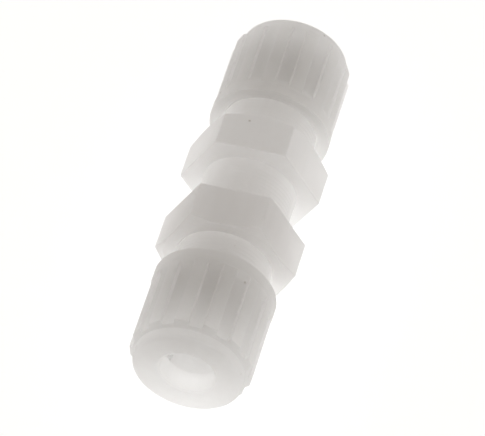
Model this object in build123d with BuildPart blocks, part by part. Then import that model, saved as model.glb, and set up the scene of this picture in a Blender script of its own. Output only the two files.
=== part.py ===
from build123d import *
import math
import os

# Straight bulkhead coupling for 12 mm tube, in millimetres.
# X runs along the tube axis, from the near end (-X) to the far end (+X), and +Z is up.
# The origin is on the axis, half way between the two closed ends of the union nuts.

# Tube and thread
tube_hole_r = 6.10            # clears a 12 mm tube
flow_bore_r = 5.00            # the bore between the two tube stops
thread_r = 10.45              # crest radius of the body's outside thread
thread_clearance = 0.08       # radial play of every nut on the thread
nut_bore_r = thread_r + thread_clearance

# Layout along X, the same distance on both sides of the middle
half_length = 46.30           # to the closed end of a union nut
union_nut_length = 23.20
body_half_length = 34.00      # to the end face of the body
tube_stop_x = 22.00           # where the tube's end rests
seal_pocket_depth = 3.60      # the pocket that holds the O-ring in each end of the body

# Hexagons
hex_flats = 27.00
panel_gap = 12.00             # between the flange and the lock nut as they stand
flange_thickness = 9.60
lock_nut_thickness = 10.00
hex_chamfer_r = 13.40         # where the corner chamfer meets the outer face
hex_chamfer_angle = 30.0      # between the chamfer and the face
hex_cut_r = 17.00             # well outside the hexagon's corners

# Union nut, outside
rib_r = 13.40
collar_r = 13.50              # plain band at the open end
collar_length = 2.50
nose_r = 12.05                # plain ring at the closed end
nose_length = 2.30
rib_end_length = 1.10         # slope from the plain ring up to the ribs
nose_round = 0.90
collar_round = 0.45
flute_count = 13
flute_floor_r = 12.60
flute_floor_width = 2.75
flute_mouth_width = 3.85
flute_mouth_r = 13.80         # the flute's cutter stands this far out
flute_runout = 2.90           # plain length left at the open end
near_flute_angle = 11.60      # each nut stops at its own angle on the thread
far_flute_angle = 15.30

# Union nut, inside
end_wall = 5.00
cone_large_r = 9.75           # the cone that squeezes the grip ring
cone_small_r = 8.35
cone_length = 4.50
shoulder_step = 0.20
hole_edge = 0.40
bore_lead_in = 0.60

# Rings between the union nut and the body
o_ring_section_r = 1.20
o_ring_centre_r = 7.35
o_ring_gap = 0.10             # from the floor of its pocket
thrust_ring_gap = 1.10        # play between the body's end face and the thrust ring
thrust_ring_thickness = 1.50
thrust_ring_outer_r = 9.90
ring_inner_r = 6.20
ring_edge = 0.25
grip_ring_gap = 0.15          # between the thrust ring and the grip ring
grip_ring_length = 4.20
grip_ring_large_r = 9.38
grip_ring_small_r = 8.02
grip_tooth_count = 3
grip_tooth_r = 6.15           # tooth tips, just clear of the tube until the nut is tightened
grip_root_r = 6.75
grip_slit_width = 1.20
grip_slit_angle = -35.0       # seen along the axis, from +Y towards +Z

os.makedirs("parts", exist_ok=True)


def save(piece, name):
    piece.part.label = name
    export_step(piece.part, f"parts/{name}.step")


def along(side, points):
    """Turn (distance from the middle, radius) points into XZ points on one side of the middle."""
    return [(side * x, r) for x, r in points]


def hex_chamfer_points(face_x, side):
    """Triangle that, turned about X, takes the corners off a hexagon's outer face."""
    drop = (hex_cut_r - hex_chamfer_r) * math.tan(math.radians(hex_chamfer_angle))
    return [(face_x, hex_chamfer_r), (face_x, hex_cut_r), (face_x - side * drop, hex_cut_r)]


# Body: a threaded tube with one fixed hexagon, the flange
flange_inner_x = panel_gap / 2
flange_outer_x = flange_inner_x + flange_thickness
seal_pocket_r = o_ring_centre_r + o_ring_section_r + 0.05
pocket_floor_x = body_half_length - seal_pocket_depth
body_edge = 1.00

with BuildPart() as body:
    with BuildSketch(Plane.XZ) as shell_section:
        with BuildLine() as shell_outline:
            Polyline(
                (-body_half_length, seal_pocket_r),
                (-body_half_length, thread_r - body_edge),
                (-body_half_length + body_edge, thread_r),
                (body_half_length - body_edge, thread_r),
                (body_half_length, thread_r - body_edge),
                (body_half_length, seal_pocket_r),
                (pocket_floor_x, seal_pocket_r),
                (pocket_floor_x, tube_hole_r),
                (tube_stop_x, tube_hole_r),
                (tube_stop_x, flow_bore_r),
                (-tube_stop_x, flow_bore_r),
                (-tube_stop_x, tube_hole_r),
                (-pocket_floor_x, tube_hole_r),
                (-pocket_floor_x, seal_pocket_r),
                close=True,
            )
        make_face()
    revolve(axis=Axis.X)
    with BuildSketch(Plane.YZ.offset(flange_inner_x)) as flange_outline:
        RegularPolygon(hex_flats / 2, 6, major_radius=False)
        Circle(thread_r - body_edge, mode=Mode.SUBTRACT)
    extrude(amount=flange_thickness)
    with BuildSketch(Plane.XZ) as flange_corner:
        with BuildLine() as flange_corner_outline:
            Polyline(*hex_chamfer_points(flange_outer_x, 1), close=True)
        make_face()
    revolve(axis=Axis.X, mode=Mode.SUBTRACT)
save(body, "body")

# Lock nut: a separate hexagon on the body's thread, which clamps a panel against the flange
lock_nut_inner_x = -panel_gap / 2
lock_nut_outer_x = lock_nut_inner_x - lock_nut_thickness

with BuildPart() as lock_nut:
    with BuildSketch(Plane.YZ.offset(lock_nut_outer_x)) as lock_nut_outline:
        RegularPolygon(hex_flats / 2, 6, major_radius=False)
        Circle(nut_bore_r, mode=Mode.SUBTRACT)
    extrude(amount=lock_nut_thickness)
    with BuildSketch(Plane.XZ) as lock_nut_corner:
        with BuildLine() as lock_nut_corner_outline:
            Polyline(*hex_chamfer_points(lock_nut_outer_x, -1), close=True)
        make_face()
    revolve(axis=Axis.X, mode=Mode.SUBTRACT)
    chamfer(lock_nut.edges().filter_by(GeomType.CIRCLE).filter_by(
        lambda edge: abs(edge.radius - nut_bore_r) < 0.01), length=hole_edge)
save(lock_nut, "lock_nut")

# Distances from the middle that both ends share
rim_x = half_length - union_nut_length
end_wall_x = half_length - end_wall
cone_start_x = end_wall_x - cone_length
rib_end_x = half_length - nose_length
thrust_ring_x = body_half_length + thrust_ring_gap
grip_ring_x = thrust_ring_x + thrust_ring_thickness + grip_ring_gap

nut_outline = [
    (rim_x, nut_bore_r + bore_lead_in),
    (rim_x, collar_r),
    (rim_x + collar_length, collar_r),
    (rim_x + collar_length, rib_r),
    (rib_end_x - rib_end_length, rib_r),
    (rib_end_x, nose_r),
    (half_length, nose_r),
    (half_length, tube_hole_r + hole_edge),
    (half_length - hole_edge, tube_hole_r),
    (end_wall_x, tube_hole_r),
    (end_wall_x, cone_small_r),
    (cone_start_x, cone_large_r),
    (cone_start_x - shoulder_step, nut_bore_r),
    (rim_x + bore_lead_in, nut_bore_r),
]

for end_name, side, flute_angle in (("near", -1, near_flute_angle), ("far", 1, far_flute_angle)):
    # Union nut: straight flutes between a plain collar and a plain nose
    with BuildPart() as union_nut:
        with BuildSketch(Plane.XZ) as nut_section:
            with BuildLine() as nut_section_outline:
                Polyline(*along(side, nut_outline), close=True)
            make_face()
        revolve(axis=Axis.X)
        nose_edge = union_nut.edges().filter_by(GeomType.CIRCLE).filter_by(
            lambda edge: abs(edge.radius - nose_r) < 0.01).sort_by(Axis.X)[0 if side < 0 else -1]
        fillet(nose_edge, radius=nose_round)
        collar_edges = union_nut.edges().filter_by(GeomType.CIRCLE).filter_by(
            lambda edge: abs(edge.radius - collar_r) < 0.01).sort_by(Axis.X)
        fillet(collar_edges[-1 if side < 0 else 0], radius=collar_round)
        flute_length = union_nut_length - flute_runout
        with BuildSketch(Plane.YZ.offset(side * half_length)) as flute_section:
            flute_depth = flute_mouth_r - flute_floor_r
            slope = math.degrees(math.atan2(flute_depth, (flute_mouth_width - flute_floor_width) / 2))
            with PolarLocations(flute_floor_r + flute_depth / 2, flute_count, start_angle=flute_angle):
                Trapezoid(flute_mouth_width, flute_depth, slope, rotation=90)
        extrude(amount=-side * flute_length, mode=Mode.SUBTRACT)
    save(union_nut, f"union_nut_{end_name}")

    # Grip ring: a split ring with a cone outside and teeth inside, which holds the tube
    tooth_pitch = grip_ring_length / grip_tooth_count
    teeth = []
    for tooth in range(grip_tooth_count):
        tooth_x = grip_ring_x + grip_ring_length - tooth * tooth_pitch
        teeth += [(tooth_x, grip_root_r), (tooth_x - tooth_pitch, grip_tooth_r)]
    with BuildPart() as grip_ring:
        with BuildSketch(Plane.XZ) as grip_section:
            with BuildLine() as grip_outline:
                Polyline(*along(side, [
                    (grip_ring_x, grip_ring_large_r),
                    (grip_ring_x + grip_ring_length, grip_ring_small_r),
                    *teeth,
                ]), close=True)
            make_face()
        revolve(axis=Axis.X)
        with BuildSketch(Plane.YZ.offset(side * grip_ring_x)) as slit_section:
            with PolarLocations(grip_ring_large_r / 2 + 1, 1, start_angle=grip_slit_angle):
                Rectangle(grip_ring_large_r, grip_slit_width)
        extrude(amount=side * grip_ring_length, mode=Mode.SUBTRACT)
    save(grip_ring, f"grip_ring_{end_name}")

    # Thrust ring: a flat washer between the grip ring and the body, which covers the O-ring
    with BuildPart() as thrust_ring:
        with BuildSketch(Plane.XZ) as thrust_section:
            thrust_mid = (side * (thrust_ring_x + thrust_ring_thickness / 2),
                          (ring_inner_r + thrust_ring_outer_r) / 2)
            with Locations(thrust_mid):
                Rectangle(thrust_ring_thickness, thrust_ring_outer_r - ring_inner_r)
            chamfer(thrust_section.vertices(), length=ring_edge)
        revolve(axis=Axis.X)
    save(thrust_ring, f"thrust_ring_{end_name}")

    # O-ring: seals on the tube inside the body's end pocket
    with BuildPart() as o_ring:
        with BuildSketch(Plane.XZ) as o_ring_section:
            with Locations((side * (pocket_floor_x + o_ring_gap + o_ring_section_r), o_ring_centre_r)):
                Circle(o_ring_section_r)
        revolve(axis=Axis.X)
    save(o_ring, f"o_ring_{end_name}")
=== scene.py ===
import math

import bmesh
import bpy
from mathutils import Matrix, Vector


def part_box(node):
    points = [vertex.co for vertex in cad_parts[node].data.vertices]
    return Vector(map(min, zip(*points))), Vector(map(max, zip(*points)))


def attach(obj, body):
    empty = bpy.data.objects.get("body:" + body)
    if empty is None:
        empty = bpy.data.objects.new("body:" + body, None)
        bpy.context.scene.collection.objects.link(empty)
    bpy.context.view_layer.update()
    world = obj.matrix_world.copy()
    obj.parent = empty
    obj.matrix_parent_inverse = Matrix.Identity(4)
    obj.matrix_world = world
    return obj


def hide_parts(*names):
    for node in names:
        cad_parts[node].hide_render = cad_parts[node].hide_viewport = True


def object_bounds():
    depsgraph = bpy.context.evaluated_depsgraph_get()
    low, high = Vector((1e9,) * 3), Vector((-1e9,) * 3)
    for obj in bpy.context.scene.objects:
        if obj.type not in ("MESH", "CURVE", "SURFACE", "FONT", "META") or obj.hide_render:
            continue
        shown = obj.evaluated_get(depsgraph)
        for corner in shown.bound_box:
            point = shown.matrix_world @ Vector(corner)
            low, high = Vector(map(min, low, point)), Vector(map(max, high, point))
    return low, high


# A straight bulkhead tube coupling in natural translucent plastic, lying on two hexagon flats.
# Everything is in metres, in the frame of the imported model: X along the tube axis, +Z up.

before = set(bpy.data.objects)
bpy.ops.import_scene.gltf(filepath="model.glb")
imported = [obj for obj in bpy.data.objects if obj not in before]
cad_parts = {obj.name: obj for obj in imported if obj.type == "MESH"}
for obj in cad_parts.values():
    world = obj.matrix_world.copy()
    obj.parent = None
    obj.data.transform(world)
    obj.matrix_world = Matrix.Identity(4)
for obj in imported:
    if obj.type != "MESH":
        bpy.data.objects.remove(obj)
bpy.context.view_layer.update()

MM = 0.001
TURN = 2 * math.pi

# Camera
CAMERA_AZIMUTH = math.radians(-76.248)
CAMERA_ELEVATION = math.radians(49.921)
CAMERA_ROLL = math.radians(1.031)
CAMERA_DISTANCE = 939.8 * MM
CAMERA_TARGET = Vector((-2.13, -0.57, 0.0)) * MM
CAMERA_LENS = 323.9

# Light: the tent's colours by height, and how much brighter it is at the tube's sides than at its ends
HORIZON_LIGHT = (1.082, 1.093, 1.103, 1.0)
SLOPE_LIGHT = (0.451, 0.421, 0.392, 1.0)
ZENITH_LIGHT = (0.213, 0.193, 0.173, 1.0)
SLOPE_HEIGHT = 0.30
ZENITH_HEIGHT = 0.85
SIDE_LIGHT = 0.36
TABLE_GLOW = 0.74
TABLE_HALF = 3.0

# Plastic
PLASTIC_IOR = 1.49
PLASTIC_SHINE = 0.46
SCATTER_DEPTH = 0.8 * MM
SATIN = 0.40
SATIN_SPREAD = 0.07
# Radii up to this span lay out the painted shade on a union nut's flutes and nose.
RADIUS_SPAN = 20.0 * MM

# Thread
THREAD_R = 10.45 * MM
THREAD_PITCH = 1.00 * MM
THREAD_DEPTH = 0.05 * MM
THREAD_FADE = 1.20 * MM
THREAD_ROWS_PER_PITCH = 6
NUT_BORE_R = 10.53 * MM
NUT_THREAD_DEPTH = 0.30 * MM
NUT_LEAD = 0.50 * MM

# Body
SEAL_POCKET_R = 8.60 * MM
SEAL_POCKET_DEPTH = 3.60 * MM
TUBE_HOLE_R = 6.10 * MM
FLOW_BORE_R = 5.00 * MM
TUBE_STOP_X = 22.00 * MM
BODY_LEAD = 0.90 * MM

# Hexagons
FLANGE_THICKNESS = 9.60 * MM
HEX_CHAMFER_R = 13.40 * MM
HEX_CHAMFER_ANGLE = math.radians(30)
HEX_CORNER_R = 0.45 * MM

# Union nuts
COLLAR_LENGTH = 2.50 * MM
BAND_STEP = 0.20 * MM
RIB_R = 13.40 * MM
RIB_END_LENGTH = 1.10 * MM
NOSE_R = 12.05 * MM
NOSE_LENGTH = 2.30 * MM
NOSE_ROUND = 0.90 * MM
FLUTE_COUNT = 13
FLUTE_FLOOR_R = 12.60 * MM
FLUTE_FLOOR_ANGLE = math.radians(6.3)
FLUTE_MOUTH_ANGLE = math.radians(7.5)
FLUTE_RUNOUT = 2.20 * MM
FIRST_FLUTE = {"near": 11.60, "far": 15.30}
END_WALL = 5.00 * MM
CONE_LENGTH = 4.50 * MM
CONE_LARGE_R = 9.75 * MM
CONE_SMALL_R = 8.35 * MM
SHOULDER_STEP = 0.20 * MM
HOLE_LEAD = 0.40 * MM

# Rings
GRIP_LARGE_R = 9.38 * MM
GRIP_SMALL_R = 8.02 * MM
GRIP_TOOTH_R = 6.15 * MM
GRIP_ROOT_R = 6.75 * MM
GRIP_TEETH = 3
GRIP_SLIT_WIDTH = 1.20 * MM
GRIP_SLIT_ANGLE = math.radians(-35)
RING_INNER_R = 6.20 * MM
FLASH_HEIGHT = 0.03 * MM

# Edges: corner radii, and how finely they are drawn
EDGE = 0.22 * MM
FINE_EDGE = 0.10 * MM
TOOTH_EDGE = 0.04 * MM
ARC_STEPS = 4
HOLD = 1.35
RUNOUT_ROWS = 8
RING_STEPS = 120
O_RING_STEPS = 40


# ---------------------------------------------------------------- camera, light and floor

def make_camera():
    """A long lens that looks down on the near end, with the horizon turned by a degree."""
    level = math.cos(CAMERA_ELEVATION)
    back = Vector((math.sin(CAMERA_AZIMUTH) * level,
                   -math.cos(CAMERA_AZIMUTH) * level, math.sin(CAMERA_ELEVATION)))
    level_right = Vector((math.cos(CAMERA_AZIMUTH), math.sin(CAMERA_AZIMUTH), 0.0))
    level_up = back.cross(level_right)
    right = level_right * math.cos(CAMERA_ROLL) + level_up * math.sin(CAMERA_ROLL)
    up = level_up * math.cos(CAMERA_ROLL) - level_right * math.sin(CAMERA_ROLL)
    camera = bpy.data.objects.new("camera", bpy.data.cameras.new("camera"))
    bpy.context.scene.collection.objects.link(camera)
    camera.data.sensor_width = 36.0
    camera.data.lens = CAMERA_LENS
    camera.data.clip_end = 50.0
    camera.matrix_world = (Matrix.Translation(CAMERA_TARGET + CAMERA_DISTANCE * back)
                           @ Matrix((right, up, back)).transposed().to_4x4())
    bpy.context.scene.camera = camera


def make_studio():
    """A white light tent: bright at the horizon, dim overhead, and deep enough bounces for milky plastic."""
    scene = bpy.context.scene
    world = bpy.data.worlds.new("studio")
    scene.world = world
    world.use_nodes = True
    nodes, links = world.node_tree.nodes, world.node_tree.links
    light = nodes["Background"]
    where = nodes.new("ShaderNodeTexCoord")
    height = nodes.new("ShaderNodeSeparateXYZ")
    tent = nodes.new("ShaderNodeValToRGB")
    stops = tent.color_ramp.elements
    stops[0].position, stops[0].color = 0.0, HORIZON_LIGHT
    stops[1].position, stops[1].color = ZENITH_HEIGHT, ZENITH_LIGHT
    stops.new(SLOPE_HEIGHT).color = SLOPE_LIGHT
    links.new(where.outputs["Generated"], height.inputs[0])
    links.new(height.outputs["Z"], tent.inputs[0])
    links.new(tent.outputs[0], light.inputs["Color"])
    sides = nodes.new("ShaderNodeMath")
    sides.operation = "POWER"
    sides.inputs[1].default_value = 2.0
    links.new(height.outputs["Y"], sides.inputs[0])
    strength = nodes.new("ShaderNodeMath")
    strength.operation = "MULTIPLY_ADD"
    strength.inputs[1].default_value = SIDE_LIGHT
    strength.inputs[2].default_value = 1.0
    links.new(sides.outputs[0], strength.inputs[0])
    links.new(strength.outputs[0], light.inputs["Strength"])
    scene.view_settings.view_transform = "Standard"
    scene.cycles.max_bounces = 24
    scene.cycles.diffuse_bounces = 16


def make_floor():
    """A lit white table under the object, wide enough to fill every view."""
    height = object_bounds()[0].z
    corners = [(x * TABLE_HALF, y * TABLE_HALF, height) for x, y in ((-1, -1), (1, -1), (1, 1), (-1, 1))]
    mesh = bpy.data.meshes.new("table")
    mesh.from_pydata(corners, [], [(0, 1, 2, 3)])
    table = bpy.data.objects.new("table", mesh)
    bpy.context.scene.collection.objects.link(table)
    material = bpy.data.materials.new("table_white")
    material.use_nodes = True
    shader = material.node_tree.nodes["Principled BSDF"]
    shader.inputs["Base Color"].default_value = (0.8, 0.8, 0.8, 1.0)
    shader.inputs["Roughness"].default_value = 0.9
    shader.inputs["Emission Color"].default_value = (1.0, 1.0, 1.0, 1.0)
    shader.inputs["Emission Strength"].default_value = TABLE_GLOW
    mesh.materials.append(material)


# ---------------------------------------------------------------- materials

class Surface:
    """A new material with a Principled shader, and short ways to feed it."""

    def __init__(self, name):
        self.material = bpy.data.materials.new(name)
        self.material.use_nodes = True
        self.nodes = self.material.node_tree.nodes
        self.link = self.material.node_tree.links.new
        self.shader = self.nodes["Principled BSDF"]
        self.place = self.nodes.new("ShaderNodeTexCoord").outputs["Object"]

    def stretched(self, scale):
        """The object's coordinates, scaled by a different amount along each axis."""
        mapping = self.nodes.new("ShaderNodeMapping")
        mapping.inputs["Scale"].default_value = scale
        self.link(self.place, mapping.inputs["Vector"])
        return mapping.outputs[0]

    def noise(self, scale, detail, place=None):
        texture = self.nodes.new("ShaderNodeTexNoise")
        texture.inputs["Scale"].default_value = scale
        texture.inputs["Detail"].default_value = detail
        self.link(place or self.place, texture.inputs["Vector"])
        return texture.outputs["Fac"]

    def ramp(self, value, *stops):
        """Colours by value, from (position, colour) stops."""
        ramp = self.nodes.new("ShaderNodeValToRGB")
        elements = ramp.color_ramp.elements
        while len(elements) < len(stops):
            elements.new(0.5)
        for element, (position, colour) in zip(elements, stops):
            element.position, element.color = position, (*colour, 1.0)
        self.link(value, ramp.inputs[0])
        return ramp.outputs[0]

    def between(self, value, low, high):
        span = self.nodes.new("ShaderNodeMapRange")
        span.inputs["To Min"].default_value, span.inputs["To Max"].default_value = low, high
        self.link(value, span.inputs["Value"])
        return span.outputs[0]

    def multiplied(self, first, second):
        mix = self.nodes.new("ShaderNodeMix")
        mix.data_type, mix.blend_type = "RGBA", "MULTIPLY"
        mix.inputs[0].default_value = 1.0
        self.link(first, mix.inputs[6])
        self.link(second, mix.inputs[7])
        return mix.outputs[2]

    def painted_shade_by_radius(self, flute_shade_share):
        """Painted shade for a union nut's recesses: white on the rib tops and inside the nose's radius, and
        the given share of white between the two, which greys the flutes and the nose.
        """
        across = self.nodes.new("ShaderNodeVectorMath")
        across.operation = "LENGTH"
        self.link(self.stretched((0.0, 1.0, 1.0)), across.inputs[0])
        share = self.nodes.new("ShaderNodeMapRange")
        share.inputs["From Max"].default_value = RADIUS_SPAN
        self.link(across.outputs["Value"], share.inputs["Value"])
        white, grey = (1.0, 1.0, 1.0), (flute_shade_share, flute_shade_share, flute_shade_share)
        stops = ((NOSE_R - 0.3 * MM, white), (NOSE_R - 0.1 * MM, grey),
                 (RIB_R - 0.3 * MM, grey), (RIB_R - 0.1 * MM, white))
        return self.ramp(share.outputs[0], *((r / RADIUS_SPAN, colour) for r, colour in stops))

    def bump(self, height, distance, strength, under=None):
        bump = self.nodes.new("ShaderNodeBump")
        bump.inputs["Distance"].default_value = distance
        bump.inputs["Strength"].default_value = strength
        self.link(height, bump.inputs["Height"])
        if under is not None:
            self.link(under, bump.inputs["Normal"])
        return bump.outputs[0]


def shaded(colour, share):
    return tuple(min(1.0, part * share) for part in colour)


def plastic(name, colour, see_through, flute_shade_share=1.0):
    """Natural plastic, moulded with no pigment: milky, with light scattered through it.

    It has faint clouds, flow lines along the moulding, a few dark specks in the melt and a satin skin.
    A share below 1 paints shade into the flutes and the nose of a union nut: their colour is made greyer than
    the ribs' to stand for the shade that falls in those recesses.
    """
    surface = Surface(name)
    clouds = surface.ramp(surface.noise(110.0, 3.0),
                          (0.35, shaded(colour, 0.985)), (0.65, shaded(colour, 1.005)))
    flow = surface.noise(1.0, 2.0, surface.stretched((60.0, 500.0, 500.0)))
    flow_tint = surface.ramp(flow, (0.35, (0.985, 0.985, 0.985)), (0.65, (1.0, 1.0, 1.0)))
    cells = surface.nodes.new("ShaderNodeTexVoronoi")
    cells.inputs["Scale"].default_value = 130.0
    surface.link(surface.place, cells.inputs["Vector"])
    specks = surface.ramp(cells.outputs["Distance"], (0.015, (0.74, 0.72, 0.69)), (0.050, (1.0, 1.0, 1.0)))
    tint = surface.multiplied(surface.multiplied(clouds, flow_tint), specks)
    # Painted shade: the union nut's flutes and nose are greyed to stand for the shade in those recesses.
    tint = surface.multiplied(tint, surface.painted_shade_by_radius(flute_shade_share))
    grain = surface.noise(2400.0, 4.0)
    skin = surface.bump(flow, 0.06 * MM, 0.15, under=surface.bump(grain, 0.03 * MM, 0.12))
    shader = surface.shader
    surface.link(tint, shader.inputs["Base Color"])
    satin = surface.between(grain, SATIN - SATIN_SPREAD, SATIN + SATIN_SPREAD)
    surface.link(satin, shader.inputs["Roughness"])
    surface.link(skin, shader.inputs["Normal"])
    shader.inputs["IOR"].default_value = PLASTIC_IOR
    shader.inputs["Specular IOR Level"].default_value = PLASTIC_SHINE
    shader.inputs["Subsurface Weight"].default_value = 1.0
    shader.inputs["Subsurface Scale"].default_value = SCATTER_DEPTH
    shader.inputs["Subsurface Radius"].default_value = (1.0, 1.0, 1.0)
    through = surface.nodes.new("ShaderNodeBsdfTranslucent")
    surface.link(tint, through.inputs["Color"])
    surface.link(skin, through.inputs["Normal"])
    both = surface.nodes.new("ShaderNodeMixShader")
    both.inputs[0].default_value = see_through
    surface.link(shader.outputs[0], both.inputs[1])
    surface.link(through.outputs[0], both.inputs[2])
    surface.link(both.outputs[0], surface.nodes["Material Output"].inputs["Surface"])
    return surface.material


def rubber(name):
    """Pale, unfilled seal rubber with a dull skin and faint clouds."""
    surface = Surface(name)
    dust = surface.noise(700.0, 6.0)
    surface.link(surface.ramp(dust, (0.35, (0.83, 0.82, 0.80)), (0.75, (0.89, 0.88, 0.86))),
                 surface.shader.inputs["Base Color"])
    surface.link(surface.between(dust, 0.45, 0.65), surface.shader.inputs["Roughness"])
    surface.link(surface.bump(dust, 0.03 * MM, 0.2), surface.shader.inputs["Normal"])
    return surface.material


# ---------------------------------------------------------------- shapes

def rounded(corners):
    """The closed outline through (x, r, radius) corners, each one turned into an arc of about that radius.

    A point beside each arc keeps the flat beyond it flat when the surface is shaded smooth.
    """
    outline = []
    for i, (x, r, radius) in enumerate(corners):
        corner = Vector((x, r))
        if radius == 0:
            outline.append(corner)
            continue
        before = Vector(corners[i - 1][:2]) - corner
        after = Vector(corners[(i + 1) % len(corners)][:2]) - corner
        reach = min(radius / math.tan(before.angle(after) / 2), 0.42 * before.length, 0.42 * after.length)
        start, end = corner + before.normalized() * reach, corner + after.normalized() * reach
        outline.append(corner + before.normalized() * reach * HOLD)
        for k in range(ARC_STEPS + 1):
            t = k / ARC_STEPS
            outline.append(start * (1 - t) ** 2 + corner * 2 * t * (1 - t) + end * t ** 2)
        outline.append(corner + after.normalized() * reach * HOLD)
    return [(point.x, point.y) for point in outline]


def link_mesh(name, vertices, faces):
    """A smooth-shaded object of these faces, all pointing outwards."""
    mesh = bpy.data.meshes.new(name)
    mesh.from_pydata(vertices, [], faces)
    work = bmesh.new()
    work.from_mesh(mesh)
    bmesh.ops.remove_doubles(work, verts=work.verts, dist=1e-8)
    bmesh.ops.recalc_face_normals(work, faces=work.faces)
    work.to_mesh(mesh)
    work.free()
    mesh.shade_smooth()
    piece = bpy.data.objects.new(name, mesh)
    bpy.context.scene.collection.objects.link(piece)
    return piece


def turned(name, angles, outline_at, closed=True):
    """A solid turned about X: outline_at(angle) is its closed (x, r) outline at that angle."""
    rows = [outline_at(angle) for angle in angles]
    size = len(rows[0])
    vertices = [(x, r * math.cos(angle), r * math.sin(angle))
                for angle, row in zip(angles, rows) for x, r in row]
    faces = []
    for i in range(len(angles) if closed else len(angles) - 1):
        here, there = i * size, (i + 1) % len(angles) * size
        for k in range(size):
            n = (k + 1) % size
            faces.append((here + k, there + k, there + n, here + n))
    if not closed:
        faces.append(tuple(range(size)))
        faces.append(tuple((len(angles) - 1) * size + k for k in range(size)))
    return link_mesh(name, vertices, faces)


def even_angles(count):
    return [TURN * i / count for i in range(count)]


def smooth_step(t):
    t = min(1.0, max(0.0, t))
    return t * t * (3 - 2 * t)


def thread(x0, x1, radius, depth, angle):
    """Corners along a right-hand thread from x0 to x1, which fades out at both ends.

    The groove goes depth deep into the surface at radius, or outwards where depth is negative.
    """
    count = round(abs(x1 - x0) / THREAD_PITCH * THREAD_ROWS_PER_PITCH)
    corners = []
    for k in range(1, count):
        x = x0 + (x1 - x0) * k / count
        wave = 0.5 - 0.5 * math.cos(TURN * (x / THREAD_PITCH) - angle)
        fade = smooth_step(min(abs(x - x0), abs(x1 - x)) / THREAD_FADE)
        corners.append((x, radius - depth * fade * wave, 0))
    return corners


# ---------------------------------------------------------------- hexagons

def hex_radius(angle, flat_r):
    """Distance from the axis to a hexagon with rounded corners. One corner is at angle 0."""
    off_corner = abs((angle + TURN / 12) % (TURN / 6) - TURN / 12)
    centre = (flat_r - HEX_CORNER_R) / math.cos(TURN / 12)
    arc_end = math.atan2(HEX_CORNER_R * math.sin(TURN / 12), centre + HEX_CORNER_R * math.cos(TURN / 12))
    if off_corner > arc_end:
        return flat_r / math.cos(TURN / 12 - off_corner)
    across = centre * math.sin(off_corner)
    return centre * math.cos(off_corner) + math.sqrt(HEX_CORNER_R ** 2 - across ** 2)


def hex_angles():
    """Angles that crowd towards the six corners."""
    near_corner = (0.2, 0.4, 0.6, 0.8, 1.0, 1.3, 1.8, 2.6, 4, 6, 9, 12, 15, 18, 21, 24, 27)
    offsets = sorted([-t for t in near_corner] + [-30, 0] + list(near_corner))
    return [math.radians(60 * corner + offset) for corner in range(6) for offset in offsets]


def chamfer_drop(hex_r):
    """How far the chamfer has come down the side of the hexagon where that side is hex_r from the axis."""
    return (hex_r - HEX_CHAMFER_R) * math.tan(HEX_CHAMFER_ANGLE)


def make_body():
    """The threaded tube with its flange hexagon, an O-ring pocket at each end and a tube stop each side."""
    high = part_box("body")[1]
    flat_r, end = high.z, high.x
    inner_x = -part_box("lock_nut")[1].x
    outer_x = inner_x + FLANGE_THICKNESS
    pocket_x = end - SEAL_POCKET_DEPTH

    def outline(angle):
        hex_r = hex_radius(angle, flat_r)
        return rounded([
            (-end, SEAL_POCKET_R, FINE_EDGE), (-end, THREAD_R - BODY_LEAD, EDGE),
            (-end + BODY_LEAD, THREAD_R, EDGE),
            *thread(-end + 2 * BODY_LEAD, inner_x - BODY_LEAD, THREAD_R, THREAD_DEPTH, angle),
            (inner_x, THREAD_R, EDGE), (inner_x, hex_r, EDGE),
            (outer_x - chamfer_drop(hex_r), hex_r, FINE_EDGE), (outer_x, HEX_CHAMFER_R, FINE_EDGE),
            (outer_x, THREAD_R, EDGE),
            *thread(outer_x + BODY_LEAD, end - 2 * BODY_LEAD, THREAD_R, THREAD_DEPTH, angle),
            (end - BODY_LEAD, THREAD_R, EDGE), (end, THREAD_R - BODY_LEAD, EDGE),
            (end, SEAL_POCKET_R, FINE_EDGE), (pocket_x, SEAL_POCKET_R, FINE_EDGE),
            (pocket_x, TUBE_HOLE_R, FINE_EDGE), (TUBE_STOP_X, TUBE_HOLE_R, FINE_EDGE),
            (TUBE_STOP_X, FLOW_BORE_R, EDGE), (-TUBE_STOP_X, FLOW_BORE_R, EDGE),
            (-TUBE_STOP_X, TUBE_HOLE_R, FINE_EDGE), (-pocket_x, TUBE_HOLE_R, FINE_EDGE),
            (-pocket_x, SEAL_POCKET_R, FINE_EDGE)])

    return turned("body_moulding", hex_angles(), outline)


def make_lock_nut():
    low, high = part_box("lock_nut")
    inner_x, outer_x, flat_r = high.x, low.x, high.z

    def outline(angle):
        hex_r = hex_radius(angle, flat_r)
        return rounded([
            (inner_x, NUT_BORE_R + NUT_LEAD, FINE_EDGE), (inner_x, hex_r, EDGE),
            (outer_x + chamfer_drop(hex_r), hex_r, FINE_EDGE), (outer_x, HEX_CHAMFER_R, FINE_EDGE),
            (outer_x, NUT_BORE_R + NUT_LEAD, FINE_EDGE), (outer_x + NUT_LEAD, NUT_BORE_R, FINE_EDGE),
            *thread(outer_x + 2 * NUT_LEAD, inner_x - 2 * NUT_LEAD, NUT_BORE_R, -NUT_THREAD_DEPTH, angle),
            (inner_x - NUT_LEAD, NUT_BORE_R, FINE_EDGE)])

    return turned("lock_nut_moulding", hex_angles(), outline)


# ---------------------------------------------------------------- union nuts

def flute_angles(first):
    """Angles that crowd towards the flutes' walls."""
    half = (0, 2.4, 4.4, 5.7, 6.2, 6.5, 6.7, 6.9, 7.1, 7.3, 7.6, 8.2, 9.6, 11.6)
    offsets = sorted({side * offset for offset in half for side in (-1, 1)}) + [180 / FLUTE_COUNT]
    return [first + math.radians(360 / FLUTE_COUNT * i + offset)
            for i in range(FLUTE_COUNT) for offset in offsets]


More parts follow.
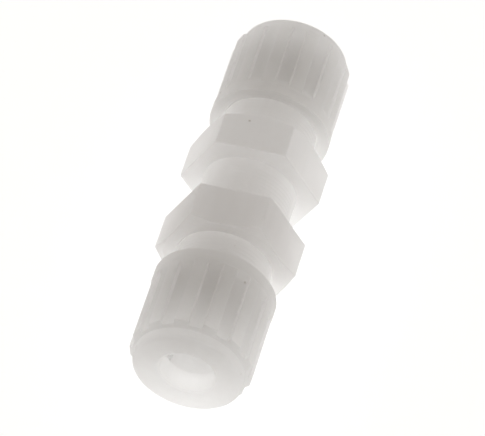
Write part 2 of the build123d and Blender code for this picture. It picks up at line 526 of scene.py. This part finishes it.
def ribbed_radius(angle, first, cut):
    """Distance from the axis to the ribs' flat tops, or to the flutes' flat floors where cut is 1."""
    step = TURN / FLUTE_COUNT
    off_flute = abs((angle - first + step / 2) % step - step / 2)
    top = RIB_R * math.cos(step / 2 - FLUTE_MOUTH_ANGLE) / math.cos(step / 2 - off_flute)
    floor = FLUTE_FLOOR_R / math.cos(off_flute)
    wall = smooth_step((FLUTE_MOUTH_ANGLE - off_flute) / (FLUTE_MOUTH_ANGLE - FLUTE_FLOOR_ANGLE))
    return min(top, RIB_R) + (floor - min(top, RIB_R)) * wall * cut


def make_union_nut(end_name, side):
    """A long nut with thirteen flutes between a plain band at the open end and a plain ring at the tube hole.

    It is drawn as the far nut and mirrored for the near one.
    """
    low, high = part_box(f"union_nut_{end_name}")
    rim, nose = sorted((side * low.x, side * high.x))
    collar_r = high.z
    first = math.radians(FIRST_FLUTE[end_name])
    band_x = rim + COLLAR_LENGTH
    rib_end = nose - NOSE_LENGTH
    slope = RIB_END_LENGTH / (RIB_R - NOSE_R)
    wall_x = nose - END_WALL
    cone_x = wall_x - CONE_LENGTH

    def outline(angle):
        end_r = ribbed_radius(angle, first, 1.0)
        slope_x = rib_end - (end_r - NOSE_R) * slope
        ribs = []
        for k in range(RUNOUT_ROWS + 1):
            x = band_x + BAND_STEP + FLUTE_RUNOUT * k / RUNOUT_ROWS
            ribs.append((x, ribbed_radius(angle, first, smooth_step(k / RUNOUT_ROWS)), 0))
        corners = rounded([
            (rim, NUT_BORE_R + NUT_LEAD, FINE_EDGE), (rim, collar_r, FINE_EDGE),
            (band_x, collar_r, FINE_EDGE), *ribs,
            (slope_x, end_r, FINE_EDGE), (rib_end, NOSE_R, FINE_EDGE),
            (nose, NOSE_R, NOSE_ROUND), (nose, TUBE_HOLE_R + HOLE_LEAD, EDGE),
            (nose - HOLE_LEAD, TUBE_HOLE_R, EDGE), (wall_x, TUBE_HOLE_R, FINE_EDGE),
            (wall_x, CONE_SMALL_R, FINE_EDGE), (cone_x, CONE_LARGE_R, FINE_EDGE),
            (cone_x - SHOULDER_STEP, NUT_BORE_R, FINE_EDGE),
            *thread(cone_x - NUT_LEAD, rim + 2 * NUT_LEAD, NUT_BORE_R, -NUT_THREAD_DEPTH, side * angle),
            (rim + NUT_LEAD, NUT_BORE_R, FINE_EDGE)])
        return [(side * x, r) for x, r in corners]

    return turned(f"union_nut_moulding_{end_name}", flute_angles(first), outline)


# ---------------------------------------------------------------- rings inside

def make_grip_ring(end_name, side):
    """A split ring: a cone outside, a row of saw teeth inside."""
    low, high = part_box(f"grip_ring_{end_name}")
    x0, x1 = sorted((side * low.x, side * high.x))
    pitch = (x1 - x0) / GRIP_TEETH
    corners = [(x0, GRIP_LARGE_R, EDGE), (x1, GRIP_SMALL_R, EDGE)]
    for tooth in range(GRIP_TEETH):
        x = x1 - tooth * pitch
        corners += [(x, GRIP_ROOT_R, FINE_EDGE), (x - pitch, GRIP_TOOTH_R, TOOTH_EDGE)]
    outline = [(side * x, r) for x, r in rounded(corners)]
    half_slit = math.asin(GRIP_SLIT_WIDTH / 2 / GRIP_LARGE_R)
    first, last = GRIP_SLIT_ANGLE + half_slit, GRIP_SLIT_ANGLE + TURN - half_slit
    angles = [first + (last - first) * i / RING_STEPS for i in range(RING_STEPS + 1)]
    return turned(f"grip_ring_moulding_{end_name}", angles, lambda angle: outline, closed=False)


def make_thrust_ring(end_name):
    """A flat ring with rounded edges."""
    low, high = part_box(f"thrust_ring_{end_name}")
    outline = rounded([(low.x, RING_INNER_R, EDGE), (low.x, high.z, EDGE),
                       (high.x, high.z, EDGE), (high.x, RING_INNER_R, EDGE)])
    return turned(f"thrust_ring_moulding_{end_name}", even_angles(RING_STEPS), lambda angle: outline)


def make_o_ring(end_name):
    """A round section with the mould's fine flash line inside and outside."""
    low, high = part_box(f"o_ring_{end_name}")
    section_r = (high.x - low.x) / 2
    centre_x, centre_r = (high.x + low.x) / 2, high.z - section_r
    outline = []
    for i in range(O_RING_STEPS):
        turn = TURN * i / O_RING_STEPS
        radius = section_r if i % (O_RING_STEPS // 2) == 0 else section_r - FLASH_HEIGHT
        outline.append((centre_x + radius * math.sin(turn), centre_r + radius * math.cos(turn)))
    return turned(f"o_ring_moulding_{end_name}", even_angles(RING_STEPS), lambda angle: outline)


# ---------------------------------------------------------------- the whole object

def fit_out(piece, node, body, material):
    """Let the piece stand for its CAD node and move with its body."""
    piece.data.materials.append(material)
    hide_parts(node)
    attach(piece, body)


make_camera()
make_studio()
make_floor()

body_plastic = plastic("milky_body", (0.995, 0.993, 0.991), 0.54)
# The union nut's plastic has painted shade: its flutes and nose are 0.972 of white for the shade in those
# recesses.
union_plastic = plastic("milky_union_nut", (0.998, 0.996, 0.993), 0.77, flute_shade_share=0.972)
nut_plastic = plastic("milky_nut", (0.993, 0.990, 0.988), 0.77)
ring_plastic = plastic("milky_ring", (0.998, 0.997, 0.996), 0.70)
seal_rubber = rubber("pale_seal")

fit_out(make_body(), "body", "fitting", body_plastic)
fit_out(make_lock_nut(), "lock_nut", "lock_nut", nut_plastic)
for end_name, side in (("near", -1), ("far", 1)):
    nut, rings = f"{end_name}_nut", f"{end_name}_rings"
    fit_out(make_union_nut(end_name, side), f"union_nut_{end_name}", nut, union_plastic)
    fit_out(make_grip_ring(end_name, side), f"grip_ring_{end_name}", rings, ring_plastic)
    fit_out(make_thrust_ring(end_name), f"thrust_ring_{end_name}", rings, ring_plastic)
    fit_out(make_o_ring(end_name), f"o_ring_{end_name}", "fitting", seal_rubber)
